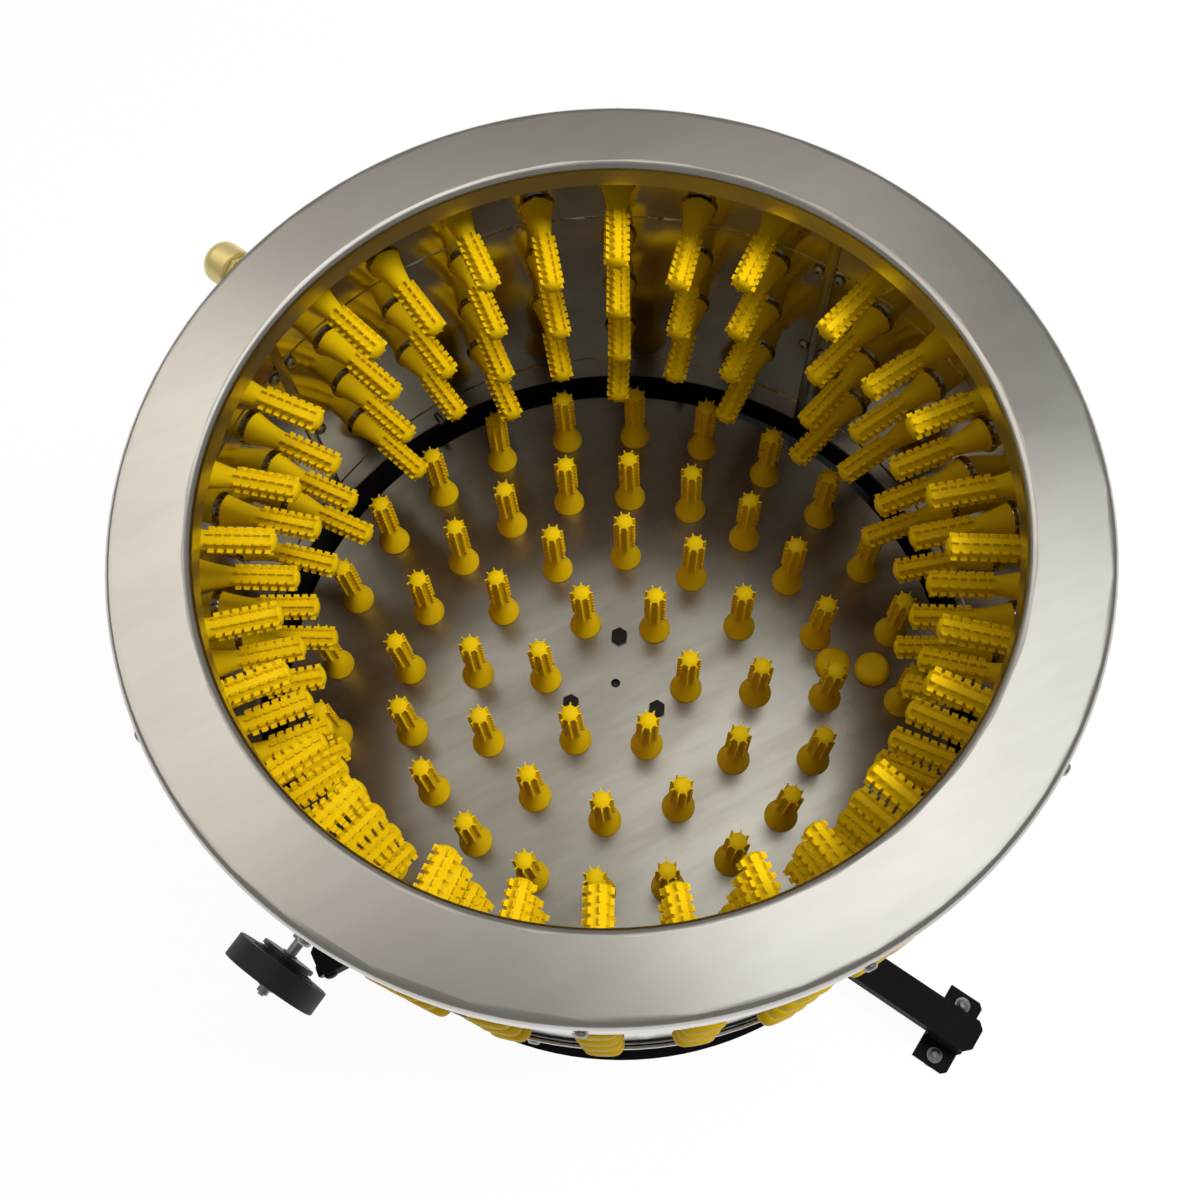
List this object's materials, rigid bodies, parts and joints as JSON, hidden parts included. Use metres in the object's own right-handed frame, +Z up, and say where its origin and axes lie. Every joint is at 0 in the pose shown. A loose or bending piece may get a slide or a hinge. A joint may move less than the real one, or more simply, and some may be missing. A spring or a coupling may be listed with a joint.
{
  "type": "poultry plucker",
  "caption": "Drum poultry plucker: a steel drum and a turning plate set with ribbed rubber fingers on a wheeled tripod base with a belt drive below.",
  "frame": {"origin": "floor level, at the middle of the footprint", "axes": "+Z up, the axle along X, the front foot towards -Y"},
  "size_m": [0.824, 0.803, 0.86],
  "materials": {
    "rim_steel": "satin",
    "wall_steel": "polished",
    "plate_steel": "brushed",
    "finger_rubber": "satin",
    "black_paint": "satin black",
    "zinc": "zinc plated",
    "black_bolt": "black oxide",
    "cast_pulley": "machined",
    "brass": "turned",
    "black_rubber": "matte",
    "motor_paint": "enamel",
    "black_plastic": "matte",
    "lid_plastic": "matte",
    "green_plastic": "gloss",
    "red_plastic": "gloss",
    "wheel_plastic": "matte",
    "tyre_rubber": "matte"
  },
  "bodies": {
    "stand": {"rim_ring": "rim_steel", "drum_panel_1": "wall_steel", "drum_panel_2": "wall_steel", "drum_panel_3": "wall_steel", "drum_panel_4": "wall_steel", "seam_straps": "wall_steel", "spray_ring": "wall_steel", "spray_clips": "wall_steel", "wall_fingers_1": "finger_rubber", "wall_fingers_2": "finger_rubber", "wall_fingers_3": "finger_rubber", "wall_fingers_4": "finger_rubber", "base_tub": "black_paint", "feather_chute": "black_paint", "drive_plate": "black_paint", "front_arm": "black_paint", "rear_arms": "black_paint", "hub_plate": "black_paint", "leg_posts": "black_paint", "foot_plate": "black_paint", "axle_lugs": "black_paint", "rim_screws": "zinc", "seam_bolts": "zinc", "tub_screws": "zinc", "drive_bolts": "zinc", "standoffs": "zinc", "leg_bolts": "zinc", "foot_bolts": "zinc", "axle": "zinc", "axle_nuts": "zinc", "switch_screws": "zinc", "upper_bearing": "cast_pulley", "lower_bearing": "cast_pulley", "hose_stem": "brass", "drive_belt": "black_rubber", "rubber_feet": "black_rubber", "motor_housing": "motor_paint", "motor_cover": "black_plastic", "terminal_box": "black_plastic", "switch_box": "black_plastic", "cable_gland": "black_plastic", "rim_spacers": "black_plastic", "switch_lid": "lid_plastic"},
    "feather_drive": {"feather_plate": "plate_steel", "plate_fingers": "finger_rubber", "sweeper_fingers": "finger_rubber", "plate_bolts": "black_bolt", "plate_hub": "zinc", "main_shaft": "zinc", "shaft_pulley": "cast_pulley"},
    "rotor": {"motor_shaft": "zinc", "motor_pulley": "cast_pulley"},
    "left_wheel": {"left_hub": "wheel_plastic", "left_tyre": "tyre_rubber"},
    "right_wheel": {"right_hub": "wheel_plastic", "right_tyre": "tyre_rubber"},
    "start_push": {"start_button": "green_plastic"},
    "stop_push": {"stop_button": "red_plastic"},
    "hose_swivel": {"hose_nut": "brass", "hose_washer": "black_rubber"}
  },
  "joints": [
    {"name": "plate_spin", "type": "hinge", "parent": "stand", "child": "feather_drive", "pos_m": [0, 0.06926, 0.45], "axis": [0, 0, 1], "continuous": true},
    {"name": "motor_spin", "type": "hinge", "parent": "stand", "child": "rotor", "pos_m": [0, 0.24926, 0.345], "axis": [0, 0, 1], "continuous": true},
    {"name": "left_wheel_spin", "type": "hinge", "parent": "stand", "child": "left_wheel", "pos_m": [-0.384, 0.28326, 0.06], "axis": [1, 0, 0], "continuous": true},
    {"name": "right_wheel_spin", "type": "hinge", "parent": "stand", "child": "right_wheel", "pos_m": [0.384, 0.28326, 0.06], "axis": [1, 0, 0], "continuous": true},
    {"name": "start_press", "type": "slide", "parent": "stand", "child": "start_push", "axis": [-0.4695, -0.8829, 0], "range_m": [0, 0.004], "stiffness_N_per_m": 500},
    {"name": "stop_press", "type": "slide", "parent": "stand", "child": "stop_push", "axis": [-0.4695, -0.8829, 0], "range_m": [0, 0.004], "stiffness_N_per_m": 500},
    {"name": "hose_nut_turn", "type": "hinge", "parent": "stand", "child": "hose_swivel", "pos_m": [0.01005, 0.3891, 0.845], "axis": [0.0314, 0.9995, 0], "continuous": true}
  ],
  "couplings": [
    {"joint": "motor_spin", "follows": "plate_spin", "ratio": 6}
  ]
}
